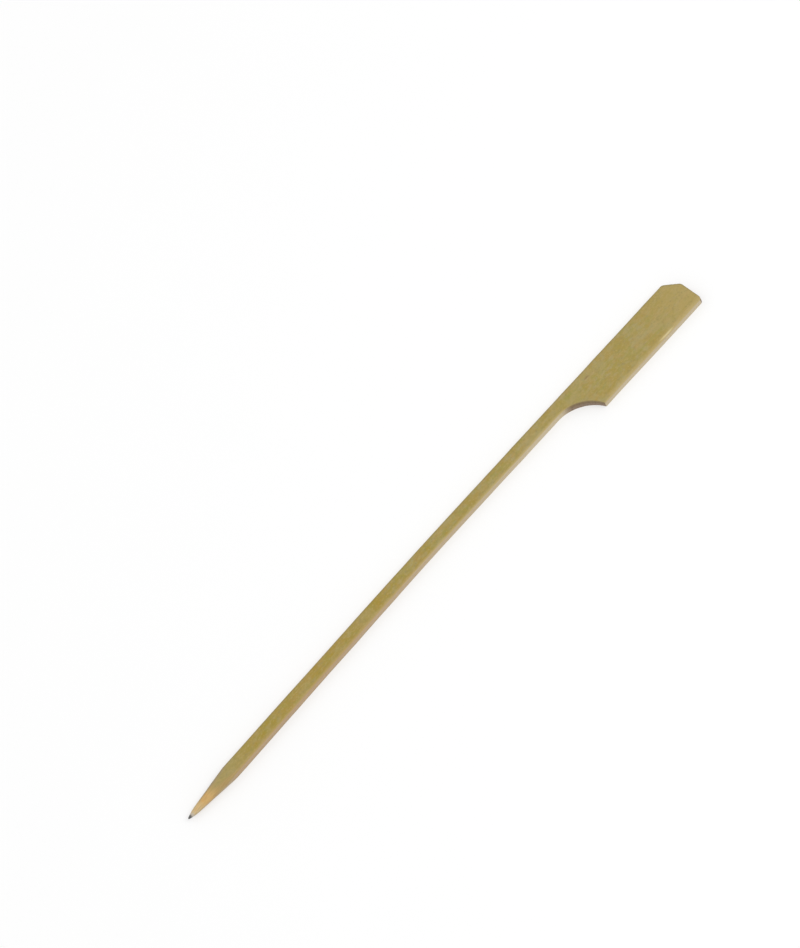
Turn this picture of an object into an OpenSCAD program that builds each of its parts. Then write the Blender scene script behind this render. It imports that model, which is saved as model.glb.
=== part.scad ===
// Flat bamboo skewer, cut from one split strip of bamboo: a ground point, a slim shaft and a flat head.
// It lies on its planed inner face with the skin face up. X runs from the point to the head.
// The origin is the middle of the skewer's box, on the surface that it lies on.
// Sizes along the strip start at its tip, and sizes across it start at its straight back edge.

/* [Strip] */
// Length from the tip of the point to the end of the head
length = 180; // [150:1:240]
// Thickness under the crown of the skin face
thickness = 2.8; // [2:0.1:4]
// Outer radius of the cane, which leaves the skin face slightly crowned
cane_r = 55; // [25:1:80]
// Width of the flat rubbed on each long edge
edge_flat = 0.3; // [0.1:0.05:0.5]
// Angle by which the front of the strip is bent edgewise
bend_deg = 0.9; // [0:0.1:3]
// Distance of the bend from the tip
bend_x = 86; // [60:1:95]

/* [Shaft] */
// Width of the shaft from the bend to the neck
shaft_w = 3.2; // [2:0.05:5]
// How much wider the shaft is behind the point
taper = 0.6; // [0:0.05:1]

/* [Point] */
// Length of the ground point
point_l = 17; // [9:0.5:20]
// Length of the blunter nose at its tip
nose_l = 2.3; // [1:0.1:5]
// Diameter at the back of the nose
nose_d = 1.6; // [0.8:0.1:2.2]
// Diameter of the blunt tip
tip_d = 0.4; // [0.2:0.1:0.7]

/* [Head] */
// Width of the head
head_w = 10.1; // [7:0.05:14]
// Length of the head from its heel to its end
head_l = 35.4; // [25:0.1:45]
// Radius of the neck that is milled between the shaft and the heel
neck_r = 11.4; // [5:0.1:14]
// Length of the clipped back corner along the head
clip_l = 3.5; // [1:0.1:6]
// Width of the clipped back corner across the head
clip_w = 3.4; // [1:0.1:5]
// Size of the worn front corner
worn_corner = 0.6; // [0.2:0.1:1.5]
// Distance by which the slanted end falls back at the clipped corner
end_slant = 0.35; // [0:0.05:1]

/* [Hidden] */
$fn = 96;
BAMBOO = "#a8955a";
OVERSIZE = 2;
ROD_R = 10;

// Plan position of a point of the straight strip, once its front is bent about the back edge
function bent(p) =
    let (turn = p.x < bend_x ? bend_deg : 0)
    [
        bend_x + (p.x - bend_x) * cos(turn) - p.y * sin(turn),
        (p.x - bend_x) * sin(turn) + p.y * cos(turn)
    ];

// Height of the skin face at a distance across the strip. Its crown runs over the head's middle,
// because the strip was as wide as its head when it was split.
function skin_z(y) = thickness - cane_r + sqrt(pow(cane_r, 2) - pow(y + head_w / 2, 2));

// The neck arc leaves the shaft along its edge and meets the head's front edge at the heel.
heel_x = length - head_l;
neck_drop = min(head_w - shaft_w, neck_r);
neck_x = heel_x - sqrt(pow(neck_r, 2) - pow(neck_r - neck_drop, 2));

// The two straight runs of the shaft's front edge meet on the line that halves the bend.
front_w = shaft_w + taper;
bend_corner = [bend_x + shaft_w * tan(bend_deg / 2), -shaft_w];
back_edge = [bent([0, 0]), [bend_x, 0], [length, 0]];
shaft_edge = [bent([0, -front_w]), bend_corner, [neck_x, -shaft_w]];
head_edge = [[neck_x, -head_w], [length, -head_w]];
head_end = [
    [length - worn_corner, -head_w],
    [length, worn_corner - head_w],
    [length - end_slant, -clip_w],
    [length - clip_l, 0]
];

// The point is ground about the middle of the shaft's section.
tip = bent([0, -front_w / 2]);
shaft_h = skin_z(tip.y);
point_r = norm([front_w, shaft_h]) / 2;

// The strip in plan, with what the cutter mills away in front of the heel
module outline() {
    difference() {
        polygon(concat(shaft_edge, [head_edge[0]], head_end, [back_edge[1], back_edge[0]]));
        translate([neck_x, -shaft_w - neck_r]) {
            circle(neck_r);
            // A straight wall, where the head is wider than the arc
            translate([0, -head_w]) square([neck_r, head_w]);
        }
    }
}

// The bamboo inside the cane's outer skin
module cane() {
    translate([-OVERSIZE, -head_w / 2, thickness - cane_r]) rotate([0, 90, 0])
        cylinder(r = cane_r, h = length + 2 * OVERSIZE, $fn = 256);
}

// Square rod that takes a flat off one run of a long edge. It lies to the left of the run where left is 1
// and to the right where it is -1, and above the strip where up is 1.
module edge_rod(from, to, left, up, before, beyond) {
    low = [from.x, from.y, up > 0 ? skin_z(from.y) : 0];
    high = [to.x, to.y, up > 0 ? skin_z(to.y) : 0];
    run = high - low;
    offset_yz = (ROD_R / sqrt(2) - edge_flat / 2) / sqrt(2);
    translate(low) rotate([0, acos(run.z / norm(run)), atan2(run.y, run.x)])
        translate([-up * offset_yz, left * offset_yz, -before])
        cylinder(r = ROD_R, h = norm(run) + before + beyond, $fn = 4);
}

// Flats along the upper and lower edges of the shaft and the head
module rubbed_edges() {
    for (up = [-1, 1]) {
        // The back edge turns outwards at the bend, so all that lies outside either of its runs goes.
        edge_rod(back_edge[0], back_edge[1], 1, up, OVERSIZE, length);
        edge_rod(back_edge[1], back_edge[2], 1, up, length, OVERSIZE);
        // The shaft's front edge turns inwards there, so only what lies outside both of its runs goes.
        intersection() {
            edge_rod(shaft_edge[0], shaft_edge[1], -1, up, OVERSIZE, length);
            edge_rod(shaft_edge[1], shaft_edge[2], -1, up, length, 0);
        }
        edge_rod(head_edge[0], head_edge[1], -1, up, 0, OVERSIZE);
    }
}

// What is ground away all round the point
module point_waste() {
    outside = 2 * point_r;
    translate([tip.x, tip.y, shaft_h / 2]) rotate([0, 90, bend_deg]) rotate_extrude()
        polygon([
            [tip_d / 2, 0],
            [nose_d / 2, nose_l],
            [point_r, point_l],
            [outside, point_l],
            [outside, -OVERSIZE],
            [tip_d / 2, -OVERSIZE]
        ]);
}

module skewer() {
    color(BAMBOO) translate([-(tip.x + length) / 2, head_w / 2, 0]) difference() {
        intersection() {
            linear_extrude(thickness + OVERSIZE) outline();
            cane();
        }
        rubbed_edges();
        point_waste();
    }
}

skewer();
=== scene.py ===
"""Flat bamboo skewer: one detailed piece that stands for the CAD node, its stage and its camera."""

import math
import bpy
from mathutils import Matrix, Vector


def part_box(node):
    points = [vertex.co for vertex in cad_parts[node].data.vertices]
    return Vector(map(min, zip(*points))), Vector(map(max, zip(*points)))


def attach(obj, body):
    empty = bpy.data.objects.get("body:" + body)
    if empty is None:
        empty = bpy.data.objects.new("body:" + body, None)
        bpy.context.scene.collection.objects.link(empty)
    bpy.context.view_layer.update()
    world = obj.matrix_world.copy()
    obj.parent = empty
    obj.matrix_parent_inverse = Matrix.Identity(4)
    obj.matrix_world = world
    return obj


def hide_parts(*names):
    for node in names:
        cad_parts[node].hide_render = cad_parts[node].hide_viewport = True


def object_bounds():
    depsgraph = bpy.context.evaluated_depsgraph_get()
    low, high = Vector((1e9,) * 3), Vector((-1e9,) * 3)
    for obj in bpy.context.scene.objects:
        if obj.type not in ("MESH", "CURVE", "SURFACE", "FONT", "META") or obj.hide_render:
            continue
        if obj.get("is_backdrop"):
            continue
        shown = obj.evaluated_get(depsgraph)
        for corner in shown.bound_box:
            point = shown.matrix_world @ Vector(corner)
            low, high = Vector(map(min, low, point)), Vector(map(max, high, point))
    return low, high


bl_info = {
    "name": "Flat Bamboo Skewer",
    "version": (1, 0, 0),
    "blender": (4, 5, 0),
    "location": "3D View > Sidebar > Skewer",
    "description": "Builds a flat bamboo skewer with a ground point and a paddle head, with its stage",
    "category": "Add Mesh",
}

from functools import partial

import bpy
from bpy.props import FloatProperty, FloatVectorProperty, PointerProperty
from mathutils import Matrix, Vector, noise

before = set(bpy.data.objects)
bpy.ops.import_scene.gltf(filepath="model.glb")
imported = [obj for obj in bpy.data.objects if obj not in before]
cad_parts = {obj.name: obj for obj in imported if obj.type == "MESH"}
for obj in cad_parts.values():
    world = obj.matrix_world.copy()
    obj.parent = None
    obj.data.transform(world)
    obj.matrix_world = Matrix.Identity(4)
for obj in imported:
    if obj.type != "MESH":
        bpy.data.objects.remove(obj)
CAD_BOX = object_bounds()
MM = 0.001
# Seeds of the wandering edges and of the relief patterns
BACK, FRONT, UNDER, DIMPLES, TROUGHS, CONE, SAWN = 1, 5, 31, 41, 43, 60, 80
# Pits to a millimetre in milled and sawn walls
PIT_RATE = 3.4
# Depth below the ground surface that stands for places well away from it
FAR = 2.0


def size(label, description, millimetres):
    """A length of the skewer, given in millimetres and kept in metres."""
    return FloatProperty(
        name=label, description=description, default=millimetres * MM, min=0, precision=5, unit="LENGTH"
    )


def angle(label, description, degrees):
    """An angle, given in degrees and kept in radians."""
    return FloatProperty(name=label, description=description, default=math.radians(degrees), subtype="ANGLE")


def number(label, description, default, unit="NONE"):
    """A plain number, with a unit where it has one."""
    return FloatProperty(name=label, description=description, default=default, min=0, unit=unit)


def colour(label, description, *srgb):
    """A colour, given as it reads in a picture, from 0 to 255."""
    linear = [
        c / 12.92 if c <= 0.04045 else ((c + 0.055) / 1.055) ** 2.4 for c in (s / 255 for s in srgb)
    ]
    return FloatVectorProperty(
        name=label, description=description, default=linear, min=0, max=1, size=3, subtype="COLOR"
    )


class SkewerSizes(bpy.types.PropertyGroup):
    """Sizes of the strip, counted from its tip and from its back edge"""

    length: size("Length", "From the tip of the point to the end of the head", 180)
    thickness: size("Thickness", "Under the crown of the skin face", 2.8)
    cane_r: size("Cane radius", "Radius of the crowned skin face", 55)
    bend_x: size("Bend", "Distance of the edgewise bend from the tip", 86)
    bend_half: size("Half bend", "Half of the length over which the strip bends", 20)
    shaft_w: size("Shaft width", "From the bend to the neck", 3.3)
    taper: size("Taper", "How much wider the shaft is behind the point", 0.5)
    point_l: size("Point length", "Length of the ground point", 17)
    nose_l: size("Nose length", "Length of the blunter nose at the tip", 2.3)
    nose_d: size("Nose diameter", "Diameter at the back of the nose", 1.6)
    tip_d: size("Tip diameter", "Diameter of the blunt tip", 0.4)
    head_w: size("Head width", "Width of the head", 10.1)
    head_l: size("Head length", "From the heel to the end", 35.4)
    neck_r: size("Neck radius", "Radius of the milled neck", 11.05)
    neck_lean: size("Neck lean", "How far the neck's wall leans out towards the underside", 0.14)
    clip_l: size("Clip length", "Clipped back corner, along the head", 3.7)
    clip_w: size("Clip width", "Clipped back corner, across the head", 3.6)
    end_slant: size("End slant", "How far the end falls back at the clipped corner", 0.35)
    worn_corner: size("Worn corner", "Size of the worn front corner", 0.6)
    worn_r: size("Worn corner radius", "Radius of the worn front corner", 0.7)
    heel_r: size("Heel rounding", "Radius of the heel's corner in plan", 0.1)
    front_edge_r: size("Front edge rounding", "Radius between the skin face and the front side", 0.5)
    back_edge_r: size("Back edge rounding", "Radius between the skin face and the back side", 0.24)
    low_edge_r: size("Lower edge rounding", "Radius between the sides and the underside", 0.2)
    cut_r: size("Cut edge rounding", "Radius of the edges of milled and sawn walls", 0.1)
    edge_wave: size("Edge wave", "How far the split edges wander to either side", 0.05)
    ridge: size("Fibre ridges", "Height of the fibre ridges on the split sides", 0.035)
    pit: size("Grain pits", "Depth of the pits in milled and sawn walls", 0.05)
    dimple: size("Face dimples", "Depth of the skin face's shallow dimples", 0.03)
    bend: angle("Bend angle", "Edgewise bend of the strip's front", 0.9)


class BambooLook(bpy.types.PropertyGroup):
    """Colours of the bamboo's faces, some of which also stand for painted shade and painted light on them"""

    skin: colour("Skin", "Olive skin face", 161, 138, 58)
    skin_green: colour("Green skin", "Greener blotches of the skin face", 148, 139, 62)
    skin_deep: colour("Deep skin", "More saturated mottles of the skin face", 159, 133, 42)
    skin_tan: colour("Tan skin", "Browner blotches of the skin face", 169, 136, 76)
    skin_grey: colour("Grey skin", "Greyer mottles of the skin face", 164, 149, 102)
    skin_end: colour("Skin at the end", "Paler skin towards the head's end", 173, 151, 94)
    # painted shade: the rim colour darkens the skin along its back edge and its end; it also colours random
    # freckles of the skin
    rim: colour("Rim", "Darker rim of the skin face along its back and its end", 138, 124, 80)
    mark: colour("Mark", "Brown flecks of the skin face", 134, 104, 66)
    # rind also gives the painted light along the head's front edge
    rind: colour("Rind", "Yellower wood close under the skin, near the neck and on the head", 183, 162, 108)
    # painted shade: the greyer foot of the sides near the point stands for the shade next to the floor
    rind_front: colour("Front rind", "Browner wood close under the skin near the point", 178, 150, 96)
    foot: colour("Foot", "Greyer foot of the sides near the point", 160, 142, 120)
    side: colour("Side", "Split side near the neck and on the head", 196, 180, 147)
    side_front: colour("Front side", "Split side near the point", 178, 149, 112)
    side_line: colour("Side lines", "Fibre lines in the split sides", 150, 124, 88)
    # worn: pale worn spot of the front edge, partly wear and partly a painted highlight
    worn: colour("Worn edge", "Pale worn spots of the front edge", 232, 217, 172)
    cone: colour("Cone", "Freshly ground wood of the point", 203, 166, 104)
    cone_pale: colour("Pale cone", "Paler wood at the front of the point", 206, 186, 142)
    cone_back: colour("Back of the cone", "Browner wood where the cone runs out", 172, 147, 92)
    # painted shade: the greyer lower and far flanks of the point, which turn away from the light
    cone_low_shade: colour("Foot of the cone", "Greyer lower flank of the point", 170, 151, 122)
    cone_far_shade: colour("Rim of the cone", "Greyer far flank of the point", 152, 138, 106)
    cone_warm: colour("Warm cone", "Warmer blotches of the point", 214, 160, 84)
    cone_line: colour("Cone lines", "Cut fibres in the point", 158, 124, 74)
    tip: colour("Tip", "Dark tip", 92, 92, 90)
    tip_ring: colour("Tip ring", "Pale grey ring behind the tip", 184, 178, 168)
    grain: colour("Cut grain", "Milled and sawn walls", 120, 97, 58)
    grain_low: colour("Low cut grain", "Lower part of the milled and sawn walls", 139, 117, 97)
    grain_line: colour("Cut fibres", "Dark fibre ends in the cut walls", 84, 64, 42)
    under: colour("Underside", "Planed inner face", 206, 188, 142)


class StageSizes(bpy.types.PropertyGroup):
    """Floor, light and camera"""

    floor: size("Floor", "Width of the floor", 3000)
    distance: size("Distance", "From the camera to the point it aims at", 6424)
    aim_x: size("Aim along", "Aim point along the strip, from the middle", 9.69)
    aim_y: size("Aim across", "Aim point across the strip, from the middle", 23.295)
    azimuth: angle("Azimuth", "Side that the camera looks from, 0 in front of the front edge", -23.289)
    elevation: angle("Elevation", "Height of the camera above the floor, as an angle", 64.035)
    roll: angle("Roll", "Turn of the camera about the line it looks along", -26.14)
    lens: number("Lens", "Focal length in millimetres", 1000, "CAMERA")
    floor_colour: colour("Floor colour", "Pale floor", 184, 184, 184)
    floor_glow: number("Floor glow", "Light that the floor gives off", 0.5)
    sky: number("Sky", "Strength of the white surroundings", 0.72)
    lamp_away: size("Lamp distance", "From the middle of the floor to each lamp", 1200)
    lamp_d: size("Lamp diameter", "Diameter of each lamp's disk", 900)
    key_power: number("Key power", "Power of the lamp in front on the right", 5.2, "POWER")
    fill_power: number("Fill power", "Power of the lamp behind on the left", 1.2, "POWER")


def smooth(value, low, high):
    """0 below low and 1 above high, with a soft step between them."""
    t = min(max((value - low) / (high - low), 0.0), 1.0)
    return t * t * (3 - 2 * t)


def mixed(a, b, t):
    """a where t is 0 and b where it is 1."""
    return a + (b - a) * t


class Edge:
    """A place on a long edge: its plan point, outward normal, radii above and below, and its wall's lean."""

    def __init__(self, at, out, high_r, low_r, lean=0.0):
        self.at, self.out, self.high_r, self.low_r, self.lean = at, out.normalized(), high_r, low_r, lean
        self.cut = smooth(abs(self.out.x), 0.05, 0.5)

    def to(self, other, t):
        """A place between this one, where t is 0, and another, where it is 1."""
        return Edge(
            self.at.lerp(other.at, t),
            self.out.lerp(other.out, t),
            mixed(self.high_r, other.high_r, t),
            mixed(self.low_r, other.low_r, t),
            mixed(self.lean, other.lean, t),
        )


class Strip:
    """The strip's form in millimetres: u along it from the tip, v across it from the back edge, z up."""

    # quads across a face, up a wall and round a rounded edge, and their length along shaft and head
    ACROSS, WALL, BEVEL = 28, 14, 5
    STEP = 0.45
    # sections along the cone, the neck and the head's end
    CONE_ROWS, NECK_ROWS, END_ROWS = 140, 64, 44
    # steps in the plan of the neck's arc, of a small corner and of the worn corner
    ARC_STEPS, CORNER_STEPS, WORN_STEPS = 40, 8, 12
    # length over which the rims of a cut pass into a rubbed edge
    EASE = 3
    # distance from the clip's first corner at which the end's stretch starts, and the lengths over which
    # that corner and the clip's second one are rounded, to either side
    CLIP_START, CLIP_LEAD, END_LEAD = 0.9, 0.7, 0.5
    # how much rounder the rims of the head's end are than those of the neck
    END_RIM = 1.6

    def __init__(self, sizes):
        for name in SkewerSizes.__annotations__:
            setattr(self, name, getattr(sizes, name) / MM)
        self.bend = sizes.bend
        self.front_w = self.shaft_w + self.taper
        self.heel_x = self.length - self.head_l
        drop = min(self.head_w - self.shaft_w, self.neck_r)
        self.neck_x = self.heel_x - math.sqrt(self.neck_r**2 - (self.neck_r - drop) ** 2)
        self.axis_v = -self.front_w / 2
        self.axis_z = self.skin_z(self.bent(0, self.axis_v).y) / 2
        self.point_r = math.hypot(self.front_w / 2, self.axis_z)
        # the fine sections reach a little past the cone, and all of the ground surface is before ground_end
        self.cone_end = self.point_l + 2.5
        self.ground_end = self.point_l + 3
        worn = self.worn_corner
        end_low = Vector((self.length, worn - self.head_w))
        end_high = Vector((self.length - self.end_slant, -self.clip_w))
        self.end_dir = (end_high - end_low).normalized()
        self.end_out = Vector((self.end_dir.y, -self.end_dir.x))
        self.end_corner = end_low - self.end_dir * (worn / self.end_dir.y)

    def rims(self, plan, pair):
        """Distances of a point from the back edge, from the front edge and from the sawn end."""
        back, front = pair
        to_end = (self.end_corner - plan).dot(self.end_out)
        return (back.at - plan).dot(back.out), (front.at - plan).dot(front.out), to_end

    def skin_z(self, v):
        """Height of the crowned skin face."""
        return self.thickness - self.cane_r + math.sqrt(self.cane_r**2 - (v + self.head_w / 2) ** 2)

    def width(self, u):
        """Width of the shaft at a distance from the tip."""
        return mixed(self.front_w, self.shaft_w, min(u / self.bend_x, 1))

    def bent(self, u, v):
        """Plan position of a point of the straight strip, once its front half is bent in a gentle curve."""
        half, turn = self.bend_half, self.bend
        t = min(max((u - self.bend_x + half) / (2 * half), 0.0), 1.0)
        heading = turn * (1 - t * t * (3 - 2 * t))
        before = min(u - self.bend_x + half, 0.0)
        x = u if before == 0 else self.bend_x - half + before * math.cos(turn)
        y = before * math.sin(turn) - math.tan(turn) * 2 * half * (0.5 - t + t**3 - t**4 / 2)
        return Vector((x - v * math.sin(heading), y + v * math.cos(heading)))

    def point_radius(self, u):
        """Radius of the ground point, with its rounded tip and the soft change from its nose to its cone."""
        nose = mixed(self.tip_d / 2, self.nose_d / 2, u / self.nose_l)
        cone = mixed(self.nose_d / 2, self.point_r, (u - self.nose_l) / (self.point_l - self.nose_l))
        blend = 0.15
        near = max(blend - abs(nose - cone), 0) / blend
        r = min(nose, cone) - near * near * blend / 4
        return r if u > self.tip_d else r * math.sqrt(max(1 - (1 - u / self.tip_d) ** 2, 0))

    def shaft_pair(self, u):
        """The places on the shaft's back and front edges at a distance from the tip."""
        back = Edge(Vector((u, 0)), Vector((0, 1)), self.back_edge_r, self.low_edge_r)
        front = Edge(Vector((u, -self.width(u))), Vector((0, -1)), self.front_edge_r, self.low_edge_r)
        return back, front

    def front_stretches(self):
        """The front edge behind the shaft: round the neck and heel, along the head, round the worn corner."""
        out, full, low = Vector((0, -1)), self.front_edge_r, self.low_edge_r
        centre = Vector((self.neck_x, -self.shaft_w - self.neck_r))
        heel_v = self.heel_r - self.head_w
        reach = self.neck_r + self.heel_r
        heel = Vector((self.neck_x + math.sqrt(reach**2 - (heel_v - centre.y) ** 2), heel_v))
        turn = math.asin((heel.x - centre.x) / reach)
        neck, steps = [], self.ARC_STEPS
        for i in range(steps + 1):
            a, fade = turn * i / steps, smooth(i, 0, steps / 3)
            away = Vector((math.sin(a), math.cos(a)))
            lean = self.neck_lean * math.sin(math.pi * i / steps) ** 2
            radii = mixed(full, self.cut_r, fade), mixed(low, self.cut_r, fade)
            neck.append(Edge(centre + away * self.neck_r, -away, *radii, lean))
        for i in range(1, self.CORNER_STEPS + 1):
            a = turn * (1 - i / self.CORNER_STEPS)
            away = Vector((-math.sin(a), -math.cos(a)))
            neck.append(Edge(heel + away * self.heel_r, away, self.cut_r, self.cut_r))
        side_v = -self.head_w
        end_angle = math.atan2(self.end_out.y, self.end_out.x)
        last = self.end_corner.x - self.worn_r * math.tan((math.pi / 2 + end_angle) / 2)
        head = [neck[-1]]
        head += [Edge(Vector((u, side_v)), out, full, low) for u in (heel.x + self.EASE, last - self.EASE)]
        worn = [head[-1], Edge(Vector((last, side_v)), out, full * 0.8, low)]
        rim, centre = self.cut_r * self.END_RIM, Vector((last, side_v + self.worn_r))
        for i in range(1, self.WORN_STEPS + 1):
            a = mixed(-math.pi / 2, end_angle, i / self.WORN_STEPS)
            away = Vector((math.cos(a), math.sin(a)))
            worn.append(Edge(centre + away * self.worn_r, away, rim, rim))
        return [neck, head, worn]

    def back_stretches(self, heel_x):
        """The back edge, in the same three stretches. The last goes round the clipped corner."""
        out, radii = Vector((0, 1)), (self.back_edge_r, self.low_edge_r)
        marks = [self.neck_x, heel_x, self.length - self.clip_l - self.CLIP_START]
        runs = [[Edge(Vector((u, 0)), out, *radii) for u in pair] for pair in zip(marks, marks[1:])]
        start = Vector((self.length - self.clip_l, 0))
        stop = Vector((self.length - self.end_slant, -self.clip_w))
        along = (stop - start).normalized()
        clip = Vector((-along.y, along.x))
        rim = self.cut_r * self.END_RIM
        corners = rounded(start, Vector((1, 0)), along, self.CLIP_LEAD, out, clip, rim)
        corners += rounded(stop, along, -self.end_dir, self.END_LEAD, clip, self.end_out, rim)
        return runs + [[runs[-1][-1]] + corners]


def rounded(corner, arriving, leaving, lead, out_before, out_after, radius):
    """A plan corner rounded from a lead before it to a lead after it."""
    found = []
    for i in range(Strip.CORNER_STEPS + 1):
        t = i / Strip.CORNER_STEPS
        before, after = corner - arriving * lead * (1 - t), corner + leaving * lead * t
        found.append(Edge(before.lerp(after, t), out_before.lerp(out_after, smooth(t, 0, 1)), radius, radius))
    return found


def spread(path, count):
    """The edge places at this many equal steps along a stretch, with both its ends."""
    marks = [0.0]
    for a, b in zip(path, path[1:]):
        marks.append(marks[-1] + max((b.at - a.at).length, 1e-9))
    found, k = [], 0
    for i in range(count + 1):
        place = marks[-1] * i / count
        while k < len(path) - 2 and marks[k + 1] < place:
            k += 1
        found.append(path[k].to(path[k + 1], min((place - marks[k]) / (marks[k + 1] - marks[k]), 1)))
    return found


def stations(strip):
    """Pairs of places on the back and front edges that share a section, from the tip to the head's end."""
    front = strip.front_stretches()
    back = strip.back_stretches(front[0][-1].at.x)
    # the sections lie closest at the tip
    start, crowding, rows = 0.004, 1.45, strip.CONE_ROWS
    along = [mixed(start, strip.cone_end, (i / rows) ** crowding) for i in range(rows + 1)]
    rows = int((strip.neck_x - strip.cone_end) / strip.STEP)
    along += [mixed(strip.cone_end, strip.neck_x, i / rows) for i in range(1, rows + 1)]
    pairs = [strip.shaft_pair(u) for u in along]
    counts = strip.NECK_ROWS, int(strip.head_l / strip.STEP), strip.END_ROWS
    for back_run, front_run, count in zip(back, front, counts):
        # each stretch starts with the pair that the one before it ends with
        pairs += list(zip(spread(back_run, count), spread(front_run, count)))[1:]
    return pairs


def wave(seed, *place):
    """A smooth random value from -1 to 1 at a place."""
    u, v, w = (*place, 0.0, 0.0)[:3]
    return noise.noise(Vector((u + 17.3 * seed, v, w + 5.1 * seed)))


def wander(u, z, seed):
    """Wandering of a split edge, in slow waves with quicker ones on them, from -1 to 1."""
    return min(max(0.9 * wave(seed, u / 11, z / 6) + 0.5 * wave(seed + 7, u / 3.2, z / 3), -1), 1)


def section(strip, pair):
    """One closed ring: plan point, height, facing (1 on the skin, 0 on a wall, -1 below) and cut share."""
    back, front = pair
    ring = []

    def face(t, low):
        edges = ((back, BACK, 1 - t), (front, FRONT, t))
        radii = [e.low_r if low else e.high_r for e, _, _ in edges]
        plan = (back.at - back.out * radii[0]).lerp(front.at - front.out * radii[1], t)
        if low:
            z = 0.4 * strip.dimple * max(wave(UNDER, plan.x / 30, plan.y * 2.2), 0)
        else:
            dip = 0.5 + 0.5 * wave(DIMPLES, plan.x / 7, plan.y / 1.6)
            dip += 0.25 * wave(TROUGHS, plan.x / 30, plan.y * 2.4)
            z = strip.skin_z(plan.y) - strip.dimple * dip * smooth(min(t, 1 - t), 0, 0.12)
        height = 0 if low else strip.thickness
        for edge, seed, share in edges:
            stray = strip.edge_wave * wander(plan.x, height, seed) * (1 - edge.cut)
            stray += edge.lean * (0.5 if low else -0.5)
            plan = plan + edge.out * stray * share
        ring.append((plan, z, -1.0 if low else 1.0, 0.0))

    def side(edge, seed, order):
        """A wall with its rounded edges, but without its first and last point, which belong to the faces."""
        high, low, top = edge.high_r, edge.low_r, strip.skin_z(edge.at.y)
        rows = []
        for i in range(strip.BEVEL - 1, 0, -1):
            a = math.pi / 2 * i / strip.BEVEL
            rows.append((high * (1 - math.cos(a)), top - high * (1 - math.sin(a)), i / strip.BEVEL))
        rows += [(0.0, mixed(top - high, low, i / strip.WALL), 0.0) for i in range(strip.WALL + 1)]
        for i in range(1, strip.BEVEL):
            a = math.pi / 2 * i / strip.BEVEL
            rows.append((low * (1 - math.cos(a)), low * (1 - math.sin(a)), -i / strip.BEVEL))
        for back_off, z, facing in rows[::order]:
            wall = 1 - abs(facing)
            u, v = edge.at
            stray = strip.edge_wave * wander(u, z, seed) * (1 - edge.cut)
            lines = 0.7 * wave(seed + 11, u / 26, z * 2.3) + 0.4 * wave(seed + 14, u / 9, z * 5.5)
            stray += strip.ridge * lines * wall * (1 - edge.cut)
            pits = 0.5 + wave(seed + 17, u * 0.4, v * PIT_RATE, z * PIT_RATE)
            stray -= strip.pit * pits * wall * edge.cut
            stray += edge.lean * (0.5 - z / top) - back_off
            ring.append((edge.at + edge.out * stray, z, facing, abs(edge.out.x) * wall))

    for i in range(strip.ACROSS + 1):
        face(i / strip.ACROSS, False)
    side(front, FRONT, 1)
    for i in range(strip.ACROSS, -1, -1):
        face(i / strip.ACROSS, True)
    side(back, BACK, -1)
    return ring


def ground(strip, plan, z):
    """Moves a point of the section onto the ground point, and tells how deep the grinding went there."""
    dv, dz = plan.y - strip.axis_v, z - strip.axis_z
    away = math.hypot(dv, dz)
    angle = math.atan2(dz, dv)
    r = strip.point_radius(plan.x)
    around = 1.4 * math.cos(angle), 1.4 * math.sin(angle)
    r *= 1 + 0.02 * wave(CONE, plan.x / 2.5, *around) * smooth(plan.x, 0.5, 3)
    depth = away - r
    if depth > 0:
        plan = Vector((plan.x, strip.axis_v + dv * r / away))
        z = strip.axis_z + dz * r / away
    return plan, z, min(max(depth, -FAR), FAR)


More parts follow.
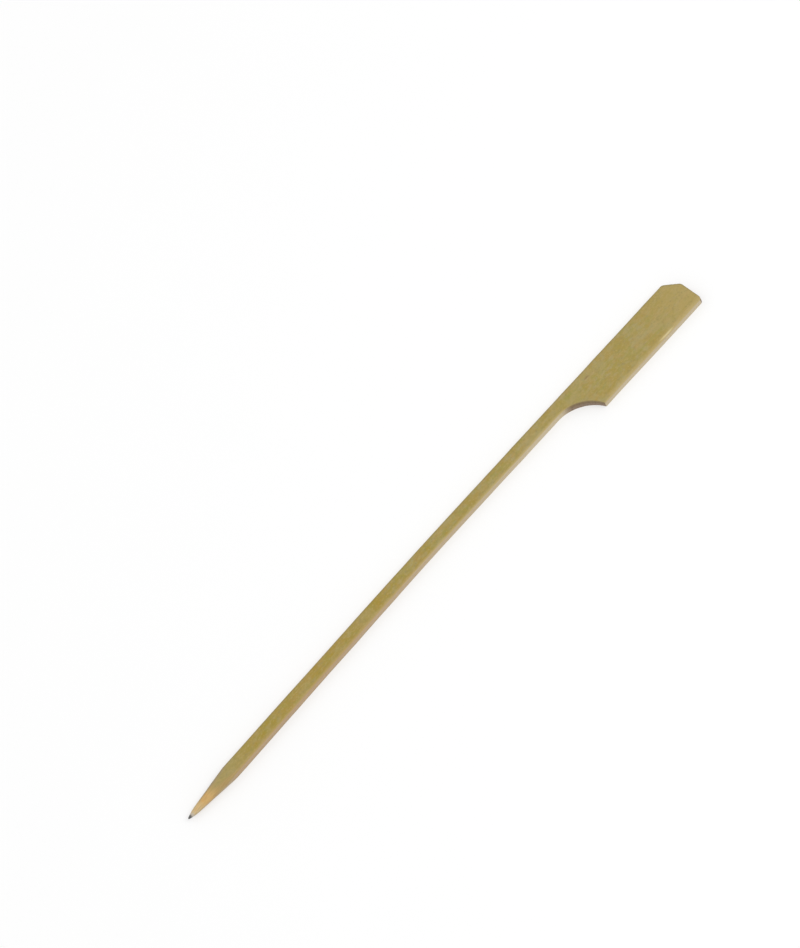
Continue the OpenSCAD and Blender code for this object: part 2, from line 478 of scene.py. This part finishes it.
class SKEWER_OT_strip(bpy.types.Operator):
    """Build the strip of bamboo with its ground point, milled neck and sawn head"""

    bl_idname = "skewer.strip"
    bl_label = "Build Strip"

    def execute(self, context):
        strip = Strip(context.scene.skewer_sizes)
        _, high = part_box("skewer")
        shift = Vector((high.x / MM - strip.length, high.y / MM))
        verts, places, zones, rims = [], [], [], []
        pairs = stations(strip)

        def add(pair, plan, z, facing, cut, depth):
            xy = strip.bent(*plan) + shift
            verts.append((xy.x * MM, xy.y * MM, max(z, 0) * MM))
            places.append((*plan, z))
            zones.append((facing, depth, cut))
            rims.append(strip.rims(plan, pair))
            return len(verts) - 1

        grid = []
        for pair in pairs:
            row = []
            for plan, z, facing, cut in section(strip, pair):
                depth = -FAR
                if plan.x < strip.ground_end:
                    plan, z, depth = ground(strip, plan, z)
                row.append(add(pair, plan, z, facing, cut, depth))
            grid.append(row)
        faces = []
        for a, b in zip(grid, grid[1:]):
            for k in range(len(a)):
                n = (k + 1) % len(a)
                faces.append((a[k], a[n], b[n], b[k]))
        for k, depth in ((0, FAR), (-1, -FAR)):
            faces += self.end_faces(strip, grid[k], places, zones, partial(add, pairs[k], depth=depth))
        mesh = bpy.data.meshes.new("skewer_strip")
        mesh.from_pydata(verts, [], faces)
        mesh.validate()
        mesh.polygons.foreach_set("use_smooth", [True] * len(mesh.polygons))
        for name, values in (("strip", places), ("zone", zones), ("rim", rims)):
            layer = mesh.attributes.new(name, "FLOAT_VECTOR", "POINT")
            layer.data.foreach_set("vector", [c for row in values for c in row])
        mesh.update()
        piece = bpy.data.objects.new("skewer_strip", mesh)
        context.scene.collection.objects.link(piece)
        mesh.materials.append(bamboo(context.scene.skewer_look, strip))
        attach(piece, "root")
        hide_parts("skewer")
        return {"FINISHED"}

    def end_faces(self, strip, ring, places, zones, add):
        """Closes an end with a grid that runs from its skin to its underside and from wall to wall."""
        across, wall = strip.ACROSS, strip.WALL + 2 * strip.BEVEL
        sawn = ring[0] > 0
        upper, front = ring[: across + 1], ring[across : across + wall + 1]
        lower = ring[across + wall : 2 * across + wall + 1][::-1]
        back = [ring[0]] + ring[2 * across + wall :][::-1]
        skin, under, near, far = ([Vector(places[n]) for n in side] for side in (upper, lower, front, back))
        rows = [upper]
        for j in range(1, wall):
            row, t = [back[j]], j / wall
            for i in range(1, across):
                s = i / across
                # each side's own bulge is carried inwards, so that the end's edges are as round as the walls'
                at = far[j].lerp(near[j], s)
                at += (skin[i] - skin[0].lerp(skin[-1], s)) * (1 - t)
                at += (under[i] - under[0].lerp(under[-1], s)) * t
                facing = mixed(zones[back[j]][0], zones[front[j]][0], s)
                share = (1 - abs(facing)) * smooth(min(s, 1 - s), 0, 0.1) * sawn
                deep = strip.pit * wave(SAWN, at.y * PIT_RATE, at.z * PIT_RATE) * share
                row.append(add(at.xy - strip.end_out * deep, at.z, facing, 1 - abs(facing)))
            rows.append(row + [front[j]])
        rows.append(lower)
        found = []
        for a, b in zip(rows, rows[1:]):
            for k in range(across):
                quad = (a[k], a[k + 1], b[k + 1], b[k])
                found.append(quad if sawn else quad[::-1])
        return found


class Wood:
    """Short forms for the nodes of one material."""

    def __init__(self, name):
        self.material = bpy.data.materials.new(name)
        self.material.use_nodes = True
        self.tree = self.material.node_tree
        self.tree.nodes.clear()

    def node(self, kind, **settings):
        """A new node, with its settings."""
        made = self.tree.nodes.new("ShaderNode" + kind)
        for key, value in settings.items():
            setattr(made, key, value)
        return made

    def put(self, socket, value):
        """Links a socket to another, or gives it a plain value."""
        if isinstance(value, bpy.types.NodeSocket):
            self.tree.links.new(value, socket)
        elif hasattr(value, "__len__") and socket.type == "RGBA":
            socket.default_value = (*value, 1)
        else:
            socket.default_value = value

    def math(self, operation, a, b):
        """Two numbers put together."""
        made = self.node("Math", operation=operation)
        self.put(made.inputs[0], a)
        self.put(made.inputs[1], b)
        return made.outputs[0]

    def step(self, value, low, high, to_low=0.0, to_high=1.0):
        """A soft step of a value between low and high."""
        made = self.node("MapRange", interpolation_type="SMOOTHSTEP")
        for socket, number in zip(made.inputs, (value, low, high, to_low, to_high)):
            self.put(socket, number)
        return made.outputs[0]

    def mix(self, share, a, b):
        """Colour a with a share of colour b."""
        made = self.node("Mix", data_type="RGBA")
        self.put(made.inputs[0], share)
        self.put(made.inputs[6], a)
        self.put(made.inputs[7], b)
        return made.outputs[2]

    def split(self, name):
        """The three numbers of a mesh attribute."""
        made = self.node("SeparateXYZ")
        self.put(made.inputs[0], self.node("Attribute", attribute_name=name).outputs["Vector"])
        return made.outputs

    def vector(self, operation, a, b=(0, 0, 0)):
        """Two vectors put together, or the length or direction of one."""
        made = self.node("VectorMath", operation=operation)
        self.put(made.inputs[0], a)
        self.put(made.inputs[1], b)
        return made.outputs["Value" if operation == "LENGTH" else "Vector"]

    def noise(self, at, along, across, shift, detail=2.0, roughness=0.5):
        """Noise with so many features to a millimetre along the strip and across it."""
        made = self.node("TexNoise", noise_dimensions="4D")
        self.put(made.inputs["Vector"], self.vector("MULTIPLY", at, (along, across, across)))
        for name, number in (("W", shift), ("Scale", 1.0), ("Detail", detail), ("Roughness", roughness)):
            made.inputs[name].default_value = number
        return made.outputs[0]

    def spot(self, at, place, reach):
        """1 at a place of the strip, falling to 0 at an ellipse round it."""
        moved = self.vector("SUBTRACT", at, (*place, 0))
        squeezed = self.vector("MULTIPLY", moved, (1 / reach[0], 1 / reach[1], 0))
        return self.step(self.vector("LENGTH", squeezed), 1.0, 0.25)

    def finish(self, colour, roughness, specular, relief=None, height=0.0):
        """The shader, with its relief as bump of so many metres."""
        shader = self.node("BsdfPrincipled")
        self.put(shader.inputs["Base Color"], colour)
        self.put(shader.inputs["Roughness"], roughness)
        shader.inputs["Specular IOR Level"].default_value = specular
        if relief is not None:
            bump = self.node("Bump")
            bump.inputs["Strength"].default_value = 0.5
            bump.inputs["Distance"].default_value = height
            self.put(bump.inputs["Height"], relief)
            self.put(shader.inputs["Normal"], bump.outputs[0])
        out = self.node("OutputMaterial")
        self.put(out.inputs["Surface"], shader.outputs[0])
        return shader


class Grain:
    """The strip's places, zones and grain patterns, by which its colours are mixed."""

    # features to a millimetre along and across the strip, and each pattern's shift, detail and roughness
    PATTERNS = {
        "fibres": (0.05, 7.0, 0.0, 3.0, 0.6),
        "streaks": (0.03, 2.2, 3.0),
        "blotches": (0.36, 0.55, 6.0, 3.0, 0.55),
        "mottles": (0.6, 1.0, 21.0, 3.0, 0.6),
        "patches": (0.14, 0.22, 26.0),
        "freckles": (1.5, 2.0, 30.0, 3.0, 0.65),
        "clouds": (0.09, 0.3, 9.0),
        "specks": (1.1, 3.2, 12.0, 2.0, 0.6),
        "warp": (0.08, 0.6, 15.0),
    }

    def __init__(self, wood, strip):
        self.at = at = wood.node("Attribute", attribute_name="strip").outputs["Vector"]
        self.along, self.across, self.height = wood.split("strip")
        self.facing, self.depth, self.cut = wood.split("zone")
        self.to_back, self.to_front, self.to_end = wood.split("rim")
        for name, form in self.PATTERNS.items():
            setattr(self, name, wood.noise(at, *form))
        # depth below the crowned skin face
        off_crown = wood.math("ADD", self.across, strip.head_w / 2)
        crown = wood.math("MULTIPLY", wood.math("MULTIPLY", off_crown, off_crown), 0.5 / strip.cane_r)
        self.below = wood.math("SUBTRACT", strip.thickness, wood.math("ADD", crown, self.height))
        # fibre bundles run the length of the strip, and show as dots where it is cut across
        shift = wood.node("CombineXYZ")
        wood.put(shift.inputs[1], self.warp)
        wood.put(shift.inputs[2], self.warp)
        cells = wood.node("TexVoronoi", feature="F1")
        squeezed = wood.vector("MULTIPLY", at, (0.02, 2.6, 2.6))
        wood.put(cells.inputs["Vector"], wood.vector("ADD", squeezed, shift.outputs[0]))
        cells.inputs["Scale"].default_value = 1.0
        self.bundles = wood.step(cells.outputs["Distance"], 0.42, 0.2)

    def ragged(self, wood, value, reach, pattern):
        """A value shifted to and fro by up to about a reach, so that its edge is ragged."""
        return wood.math("ADD", value, wood.math("MULTIPLY", wood.math("SUBTRACT", pattern, 0.5), 2 * reach))


# Spots of the skin face: colour, share, place along and across the strip, and reach in both ways
SKIN_SPOTS = (
    ("skin_green", 0.45, (164, -7.8), (8, 0.5)),
    ("skin_green", 0.6, (140, -1.9), (1.9, 1.0)),
    ("mark", 0.6, (146.6, -2.05), (1.2, 0.35)),
)
# The pale spot of the head's front edge, partly wear and partly a painted highlight, in the same way
WORN_AND_HIGHLIGHT_SPOT = ("worn", 0.6, (167.5, -9.75), (3.4, 0.4))


def skin_face(wood, grain, look, strip):
    """Blotchy olive skin, darker along its back edge and its end with painted shade, with painted light along
    the head's front edge, and paler towards the head's end.
    """
    skin = wood.mix(wood.step(grain.blotches, 0.4, 0.6), look.skin_green, look.skin_tan)
    skin = wood.mix(wood.step(grain.clouds, 0.3, 0.7, 0.1, 0.6), skin, look.skin)
    skin = wood.mix(wood.step(grain.mottles, 0.47, 0.68, 0.0, 0.9), skin, look.skin_grey)
    skin = wood.mix(wood.step(grain.mottles, 0.5, 0.3, 0.0, 1.0), skin, look.skin_deep)
    skin = wood.mix(wood.step(grain.patches, 0.5, 0.32, 0.0, 0.75), skin, look.skin_deep)
    skin = wood.mix(wood.step(grain.patches, 0.5, 0.68, 0.0, 0.6), skin, look.skin_grey)
    skin = wood.mix(wood.step(grain.along, 84, 66, 0.0, 0.35), skin, look.skin_deep)
    for low, high, share in ((28, 14, 0.5), (70, 118, 0.25)):
        skin = wood.mix(wood.step(grain.along, low, high, 0.0, share), skin, look.skin_grey)
    end = grain.ragged(wood, grain.along, 4, grain.blotches)
    skin = wood.mix(wood.step(end, 0.9 * strip.length, strip.length, 0.0, 0.7), skin, look.skin_end)
    skin = wood.mix(wood.step(grain.freckles, 0.48, 0.3, 0.0, 0.6), skin, look.rim)
    skin = wood.mix(wood.step(grain.freckles, 0.5, 0.68, 0.0, 0.85), skin, look.skin_end)
    skin = wood.mix(wood.step(grain.fibres, 0.35, 0.65, 0.0, 0.25), skin, look.skin_green)
    skin = wood.mix(wood.step(grain.streaks, 0.52, 0.72, 0.0, 0.16), skin, look.skin_end)
    for name, share, place, reach in SKIN_SPOTS:
        spot = wood.math("MULTIPLY", wood.spot(grain.at, place, reach), share)
        skin = wood.mix(spot, skin, getattr(look, name))
    # painted shade along the back edge and the end, whose rounded edges turn away from the light
    for rim, reach, share in ((grain.to_back, 0.55, 0.75), (grain.to_end, 0.5, 0.5)):
        near = wood.step(grain.ragged(wood, rim, 0.12, grain.mottles), reach, 0.1, 0.0, share)
        skin = wood.mix(near, skin, look.rim)
    # painted light: the skin is paler and yellower along the head's front edge, which faces the light, with
    # the rind colour
    painted_front_light = wood.step(grain.ragged(wood, grain.to_front, 0.2, grain.mottles), 1.15, 0.35, 0.0, 0.28)
    painted_front_light = wood.math("MULTIPLY", painted_front_light, wood.step(grain.along, strip.heel_x, strip.heel_x + 3))
    return wood.mix(painted_front_light, skin, look.rind)


def split_side(wood, grain, look, strip):
    """Split wood of the long sides, browner near the point, with long fibre lines."""
    side = wood.mix(wood.step(grain.along, 0.2 * strip.length, strip.neck_x), look.side_front, look.side)
    side = wood.mix(wood.step(grain.fibres, 0.48, 0.7, 0.0, 0.4), side, look.side_line)
    side = wood.mix(wood.math("MULTIPLY", grain.bundles, 0.25), side, look.side_line)
    return wood.mix(wood.step(grain.streaks, 0.45, 0.7, 0.0, 0.35), side, look.side)


def cut_wall(wood, grain, look):
    """Brown cut grain of the milled neck and the sawn end, with dark fibre ends."""
    wall = wood.mix(wood.step(grain.below, 0.6, 2.0), look.grain, look.grain_low)
    wall = wood.mix(wood.step(grain.specks, 0.5, 0.75, 0.0, 0.3), wall, look.side_line)
    return wood.mix(wood.math("MULTIPLY", grain.bundles, 0.6), wall, look.grain_line)


def underside(wood, grain, look):
    """Planed inner wood with brown fibre bundles."""
    under = wood.mix(wood.step(grain.fibres, 0.5, 0.7, 0.0, 0.4), look.under, look.side_line)
    under = wood.mix(wood.math("MULTIPLY", grain.bundles, 0.5), under, look.side_line)
    return wood.mix(wood.step(grain.clouds, 0.35, 0.65, 0.0, 0.35), under, look.side)


def ground_point(wood, grain, look, strip):
    """Ground wood of the point, pale in front, with painted shade on its lower and far flanks and a pale ring
    behind its dark tip.
    """
    cone = wood.mix(wood.step(grain.along, 6.0, 2.0), look.cone, look.cone_pale)
    cone = wood.mix(wood.step(grain.mottles, 0.5, 0.65, 0.0, 0.5), cone, look.cone_warm)
    cone = wood.mix(wood.step(grain.along, 6.5, 11.0), cone, look.cone_back)
    # which way a place lies from the cone's axis, from -1 to 1 towards the back edge and upwards
    towards = wood.vector("SUBTRACT", grain.at, (0, strip.axis_v, strip.axis_z))
    towards = wood.vector("MULTIPLY", towards, (0, 1, 1))
    turned = wood.node("SeparateXYZ")
    wood.put(turned.inputs[0], wood.vector("NORMALIZE", towards))
    back, up = turned.outputs[1:]
    # painted shade on the lower flank of the point
    low = wood.step(grain.ragged(wood, up, 0.3, grain.fibres), 0.6, -0.2, 0.0, 0.8)
    cone = wood.mix(low, cone, look.cone_low_shade)
    # painted shade on the far flank of the point, towards the back edge and upwards
    far = wood.step(grain.ragged(wood, back, 0.3, grain.fibres), 0.25, 0.75)
    far = wood.math("MULTIPLY", far, wood.step(up, -0.3, 0.3))
    far = wood.math("MULTIPLY", far, wood.step(grain.along, 2, 8, 0.0, 0.9))
    cone = wood.mix(far, cone, look.cone_far_shade)
    cone = wood.mix(wood.step(grain.fibres, 0.45, 0.66, 0.0, 0.3), cone, look.cone_line)
    cone = wood.mix(wood.math("MULTIPLY", grain.bundles, 0.3), cone, look.cone_line)
    tip = grain.ragged(wood, grain.along, 0.35, grain.specks)
    cone = wood.mix(wood.step(tip, 2.1, 1.3, 0.0, 0.75), cone, look.tip_ring)
    return wood.mix(wood.step(tip, 1.3, 0.75), cone, look.tip)


def bamboo(look, strip):
    """The bamboo: skin, split sides, cut grain, planed underside and ground point, told apart by zones."""
    wood = Wood("bamboo_skewer")
    grain = Grain(wood, strip)
    wall_share = wood.step(grain.cut, 0.12, 0.42)
    wall = wood.mix(wall_share, split_side(wood, grain, look, strip), cut_wall(wood, grain, look))
    skin = skin_face(wood, grain, look, strip)
    # the skin passes into the wood of the walls through a narrow yellow rind
    below = grain.ragged(wood, grain.below, 0.12, grain.warp)
    neck_share = wood.step(grain.along, 0.3 * strip.length, 0.6 * strip.length)
    rind = wood.mix(neck_share, look.rind_front, look.rind)
    rind = wood.mix(wood.math("MULTIPLY", wall_share, 0.7), rind, look.grain)
    # painted shade: the lowest part of the sides near the point is greyed, where shade falls next to the
    # floor
    foot = wood.math("MULTIPLY", wood.step(grain.height, 0.6, 0.1), wood.step(grain.along, 110, 60))
    wall = wood.mix(wood.math("MULTIPLY", foot, 0.7), wall, look.foot)
    body = wood.mix(wood.step(below, 0.15, 0.95), rind, wall)
    face_share = wood.step(grain.ragged(wood, grain.facing, 0.1, grain.warp), 0.1, 0.95)
    body = wood.mix(face_share, body, skin)
    # partly wear and partly a painted highlight: a pale spot on the head's front edge
    name, share, place, reach = WORN_AND_HIGHLIGHT_SPOT
    worn = wood.math("MULTIPLY", wood.step(grain.to_front, 0.6, 0.1), wood.spot(grain.at, place, reach))
    body = wood.mix(wood.math("MULTIPLY", worn, share), body, getattr(look, name))
    body = wood.mix(wood.step(grain.facing, -0.3, -0.8), body, underside(wood, grain, look))
    on_cone = wood.step(grain.ragged(wood, grain.depth, 0.08, grain.mottles), -0.5, -0.02)
    body = wood.mix(on_cone, body, ground_point(wood, grain, look, strip))

    relief = wood.math("MULTIPLY", grain.fibres, 0.6)
    for pattern, share in ((grain.bundles, -0.25), (grain.specks, 0.25)):
        relief = wood.math("ADD", relief, wood.math("MULTIPLY", pattern, share))
    roughness = wood.step(grain.fibres, 0.3, 0.7, 0.46, 0.62)
    wood.finish(body, roughness, 0.35, relief, 0.04 * MM)
    return wood.material


def paper(tone, glow):
    """Pale paper of the floor, which glows a little, so that shadows on it stay faint."""
    wood = Wood("paper")
    where = wood.node("TexCoord").outputs["Object"]
    speckle = wood.noise(where, 40, 40, 0.0)
    shader = wood.finish(wood.mix(speckle, [c * 0.985 for c in tone], list(tone)), 0.9, 0.1)
    shader.inputs["Emission Color"].default_value = (1, 1, 1, 1)
    shader.inputs["Emission Strength"].default_value = glow
    return wood.material


class SKEWER_OT_stage(bpy.types.Operator):
    """Lay out the pale floor, the soft lights and the camera"""

    bl_idname = "skewer.stage"
    bl_label = "Build Stage"

    def execute(self, context):
        stage = context.scene.skewer_stage
        scene = context.scene
        # the floor lies a hair below the strip, so that their faces never coincide
        half, floor_z = stage.floor / 2, -0.02 * MM
        mesh = bpy.data.meshes.new("floor")
        corners = [(-half, -half), (half, -half), (half, half), (-half, half)]
        mesh.from_pydata([(x, y, floor_z) for x, y in corners], [], [(0, 1, 2, 3)])
        floor = bpy.data.objects.new("floor", mesh)
        scene.collection.objects.link(floor)
        mesh.materials.append(paper(stage.floor_colour, stage.floor_glow))
        floor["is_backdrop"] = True

        world = bpy.data.worlds.new("soft_white")
        world.use_nodes = True
        sky = world.node_tree.nodes["Background"]
        sky.inputs["Color"].default_value = (1, 1, 1, 1)
        sky.inputs["Strength"].default_value = stage.sky
        scene.world = world
        for name, azimuth, elevation, power in (
            ("key", 40, 60, stage.key_power),
            ("fill", 205, 50, stage.fill_power),
        ):
            light = bpy.data.lights.new(name, "AREA")
            light.shape, light.size, light.energy = "DISK", stage.lamp_d, power
            lamp = bpy.data.objects.new(name, light)
            back = direction(math.radians(azimuth), math.radians(elevation))
            lamp.location = back * stage.lamp_away
            lamp.rotation_euler = (-back).to_track_quat("-Z", "Y").to_euler()
            scene.collection.objects.link(lamp)

        lens = bpy.data.cameras.new("camera")
        lens.lens, lens.sensor_width = stage.lens, 36
        lens.clip_start, lens.clip_end = 0.05, 20
        camera = bpy.data.objects.new("camera", lens)
        scene.collection.objects.link(camera)
        back = direction(stage.azimuth, stage.elevation)
        level = Vector((math.cos(stage.azimuth), math.sin(stage.azimuth), 0))
        upright = back.cross(level)
        right = level * math.cos(stage.roll) + upright * math.sin(stage.roll)
        turned = Matrix((right, back.cross(right), back)).transposed()
        camera.matrix_world = Matrix.Translation(
            Vector((stage.aim_x, stage.aim_y, 0)) + back * stage.distance
        ) @ turned.to_4x4()
        scene.camera = camera
        scene.view_settings.view_transform = "Standard"
        return {"FINISHED"}


def direction(azimuth, elevation):
    """Towards a viewer at this azimuth, which is 0 in front of the strip's front side, and this elevation."""
    flat = math.cos(elevation)
    return Vector((math.sin(azimuth) * flat, -math.cos(azimuth) * flat, math.sin(elevation)))


class SKEWER_PT_panel(bpy.types.Panel):
    """Sizes and colours of the skewer, with its build buttons"""

    bl_idname = "SKEWER_PT_panel"
    bl_label = "Flat Bamboo Skewer"
    bl_space_type = "VIEW_3D"
    bl_region_type = "UI"
    bl_category = "Skewer"

    def draw(self, context):
        layout = self.layout
        for group in (context.scene.skewer_sizes, context.scene.skewer_look, context.scene.skewer_stage):
            column = layout.column(align=True)
            for name in group.__annotations__:
                column.prop(group, name)
        layout.operator(SKEWER_OT_strip.bl_idname)
        layout.operator(SKEWER_OT_stage.bl_idname)


CLASSES = (SkewerSizes, BambooLook, StageSizes, SKEWER_OT_strip, SKEWER_OT_stage, SKEWER_PT_panel)


def register():
    """Registers the classes and hangs the properties on the scene."""
    for cls in CLASSES:
        bpy.utils.register_class(cls)
    bpy.types.Scene.skewer_sizes = PointerProperty(type=SkewerSizes)
    bpy.types.Scene.skewer_look = PointerProperty(type=BambooLook)
    bpy.types.Scene.skewer_stage = PointerProperty(type=StageSizes)


def unregister():
    """Takes the properties and the classes away again."""
    del bpy.types.Scene.skewer_stage, bpy.types.Scene.skewer_look, bpy.types.Scene.skewer_sizes
    for cls in reversed(CLASSES):
        bpy.utils.unregister_class(cls)


def main():
    """Builds the strip and its stage."""
    register()
    bpy.ops.skewer.strip()
    bpy.ops.skewer.stage()
    boxes = {"cad": CAD_BOX, "visual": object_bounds()}
    {key: [list(corner) for corner in box] for key, box in boxes.items()}


if __name__ == "__main__":
    main()
